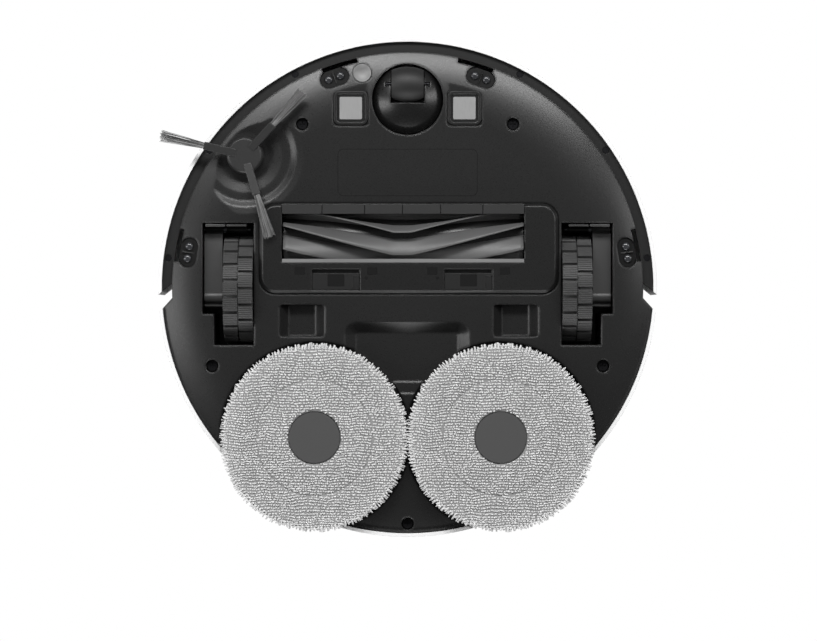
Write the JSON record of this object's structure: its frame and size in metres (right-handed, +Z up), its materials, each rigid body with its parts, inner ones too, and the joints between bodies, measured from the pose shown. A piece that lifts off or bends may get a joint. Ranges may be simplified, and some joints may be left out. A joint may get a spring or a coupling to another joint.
{
  "type": "robot vacuum",
  "caption": "Round robot vacuum and mop with a sprung front bumper, lidar turret, drive wheels, caster, rubber main brush, side brush and spinning mop pads that lift.",
  "frame": {"origin": "on the floor under the middle of the round body", "axes": "+Z up, the bumper and the caster at -Y, the mop pads at +Y, the side brush at -X"},
  "size_m": [0.35, 0.35, 0.1],
  "materials": {
    "white_shell": "semi-gloss white moulded ABS",
    "dark_chassis": "fine-textured black ABS",
    "dark_gloss": "polished black plastic",
    "dark_insert": "black moulded plastic",
    "inner_grey": "grey moulded plastic",
    "clear_dark": "dark infrared-clear window",
    "rubber": "black rubber",
    "tyre": "black tread rubber",
    "brush_rubber": "dark grey silicone rubber",
    "bristle": "black and grey nylon bristle",
    "steel": "zinc plated steel",
    "contact": "nickel plated contact",
    "strip": "bright metal strip",
    "microfibre": "light grey chenille microfibre",
    "mop_plate": "mid-grey plastic",
    "board": "green circuit board",
    "battery": "blue wrapped cell pack",
    "filter": "pleated filter paper",
    "tank": "smoked tank plastic",
    "silver_dish": "satin silver plastic"
  },
  "bodies": {
    "chassis": {"base_plate": "dark_chassis", "caster_socket": "dark_insert", "brush_chamber": "dark_insert", "wheel_well_left": "dark_insert", "wheel_well_right": "dark_insert", "suspension_pins": "steel", "charge_contacts": "contact", "cliff_sensors": "dark_gloss", "carpet_sensor": "silver_dish", "chassis_screws": "steel", "upper_frame": "inner_grey", "top_cover": "white_shell", "rear_shell": "white_shell", "main_board": "board", "battery_pack": "battery", "speaker": "dark_insert", "bumper_switches": "inner_grey", "dust_bin": "tank", "dust_filter": "filter", "water_tank": "tank", "water_pump": "inner_grey", "fan_housing": "inner_grey", "brush_motors": "steel", "mop_lift_motor": "steel", "lidar_base": "dark_insert", "turret_ring": "white_shell"},
    "bumper": {"bumper_shell": "white_shell", "bumper_lip": "dark_chassis", "bumper_screws": "steel", "front_window": "clear_dark"},
    "caster_fork": {"caster_fork": "dark_gloss", "caster_axle": "steel"},
    "caster_wheel": {"caster_wheel": "rubber"},
    "arm_left": {"wheel_arm_left": "dark_insert"},
    "wheel_left": {"wheel_hub_left": "dark_insert", "wheel_tyre_left": "tyre"},
    "arm_right": {"wheel_arm_right": "dark_insert"},
    "wheel_right": {"wheel_hub_right": "dark_insert", "wheel_tyre_right": "tyre"},
    "main_brush": {"brush_core": "dark_insert", "brush_blades": "brush_rubber"},
    "brush_cover": {"brush_cover": "dark_insert", "front_flaps": "rubber", "scraper_strip": "strip"},
    "latch_left": {"latch_left": "dark_insert"},
    "latch_right": {"latch_right": "dark_insert"},
    "side_brush": {"side_brush_hub": "dark_insert", "side_brush_bristles": "bristle"},
    "mop_carriage": {"mop_carriage": "inner_grey", "mop_gearboxes": "inner_grey"},
    "mop_left": {"mop_holder_left": "mop_plate", "mop_pad_left": "microfibre"},
    "mop_right": {"mop_holder_right": "mop_plate", "mop_pad_right": "microfibre"},
    "lidar_head": {"lidar_head": "clear_dark"},
    "lidar_cap": {"lidar_cap": "white_shell"},
    "power_button": {"power_button": "white_shell"},
    "home_button": {"home_button": "white_shell"},
    "top_lid": {"top_lid": "white_shell"},
    "fan_impeller": {"fan_impeller": "inner_grey"}
  },
  "joints": [
    {"name": "bumper_press", "type": "slide", "parent": "chassis", "child": "bumper", "axis": [0, 1, 0], "range_m": [0, 0.004], "stiffness_N_per_m": 300},
    {"name": "caster_swivel", "type": "hinge", "parent": "chassis", "child": "caster_fork", "pos_m": [0, -0.1318, 0.012], "axis": [0, 0, 1], "continuous": true},
    {"name": "caster_roll", "type": "hinge", "parent": "caster_fork", "child": "caster_wheel", "pos_m": [0, -0.1424, 0.0122], "axis": [1, 0, 0], "continuous": true},
    {"name": "suspension_left", "type": "hinge", "parent": "chassis", "child": "arm_left", "pos_m": [0.1366, -0.0413, 0.038], "axis": [1, 0, 0], "range_deg": [-22, 7], "stiffness_Nm_per_rad": 1.6, "springref_deg": -16.04},
    {"name": "wheel_roll_left", "type": "hinge", "parent": "arm_left", "child": "wheel_left", "pos_m": [0.1187, 0.001, 0.0375], "axis": [1, 0, 0], "continuous": true},
    {"name": "suspension_right", "type": "hinge", "parent": "chassis", "child": "arm_right", "pos_m": [-0.1366, -0.0413, 0.038], "axis": [1, 0, 0], "range_deg": [-22, 7], "stiffness_Nm_per_rad": 1.6, "springref_deg": -16.04},
    {"name": "wheel_roll_right", "type": "hinge", "parent": "arm_right", "child": "wheel_right", "pos_m": [-0.1187, 0.001, 0.0375], "axis": [1, 0, 0], "continuous": true},
    {"name": "main_brush_spin", "type": "hinge", "parent": "chassis", "child": "main_brush", "pos_m": [-0.0037, -0.0355, 0.0245], "axis": [1, 0, 0], "continuous": true},
    {"name": "brush_cover_off", "type": "slide", "parent": "chassis", "child": "brush_cover", "axis": [0, 0, -1], "range_m": [0, 0.045], "deforming": ["side_brush_bristles"]},
    {"name": "latch_left_press", "type": "slide", "parent": "brush_cover", "child": "latch_left", "axis": [0, -1, 0], "range_m": [0, 0.0025], "stiffness_N_per_m": 400},
    {"name": "latch_right_press", "type": "slide", "parent": "brush_cover", "child": "latch_right", "axis": [0, -1, 0], "range_m": [0, 0.0025], "stiffness_N_per_m": 400},
    {"name": "side_brush_spin", "type": "hinge", "parent": "chassis", "child": "side_brush", "pos_m": [-0.1138, -0.0924, 0.01], "axis": [0, 0, 1], "continuous": true},
    {"name": "mop_lift", "type": "slide", "parent": "chassis", "child": "mop_carriage", "axis": [0, 0, 1], "range_m": [0, 0.008]},
    {"name": "mop_left_spin", "type": "hinge", "parent": "mop_carriage", "child": "mop_left", "pos_m": [0.065, 0.1048, 0.006], "axis": [0, 0, 1], "continuous": true},
    {"name": "mop_right_spin", "type": "hinge", "parent": "mop_carriage", "child": "mop_right", "pos_m": [-0.065, 0.1048, 0.006], "axis": [0, 0, 1], "continuous": true},
    {"name": "lidar_spin", "type": "hinge", "parent": "chassis", "child": "lidar_head", "pos_m": [0, -0.0365, 0.085], "axis": [0, 0, 1], "continuous": true},
    {"name": "lidar_cap_press", "type": "slide", "parent": "chassis", "child": "lidar_cap", "axis": [0, 0, -1], "range_m": [0, 0.0015], "stiffness_N_per_m": 1500},
    {"name": "power_button_press", "type": "slide", "parent": "chassis", "child": "power_button", "axis": [0, 0, -1], "range_m": [0, 0.0008], "stiffness_N_per_m": 600},
    {"name": "home_button_press", "type": "slide", "parent": "chassis", "child": "home_button", "axis": [0, 0, -1], "range_m": [0, 0.0008], "stiffness_N_per_m": 600},
    {"name": "top_lid_open", "type": "hinge", "parent": "chassis", "child": "top_lid", "pos_m": [0, 0.01985, 0.08375], "axis": [1, 0, 0], "range_deg": [0, 80]},
    {"name": "fan_spin", "type": "hinge", "parent": "chassis", "child": "fan_impeller", "pos_m": [0, 0.0515, 0.03], "axis": [0, 0, 1], "continuous": true}
  ],
  "couplings": [
    {"joint": "mop_right_spin", "follows": "mop_left_spin", "ratio": -1}
  ]
}
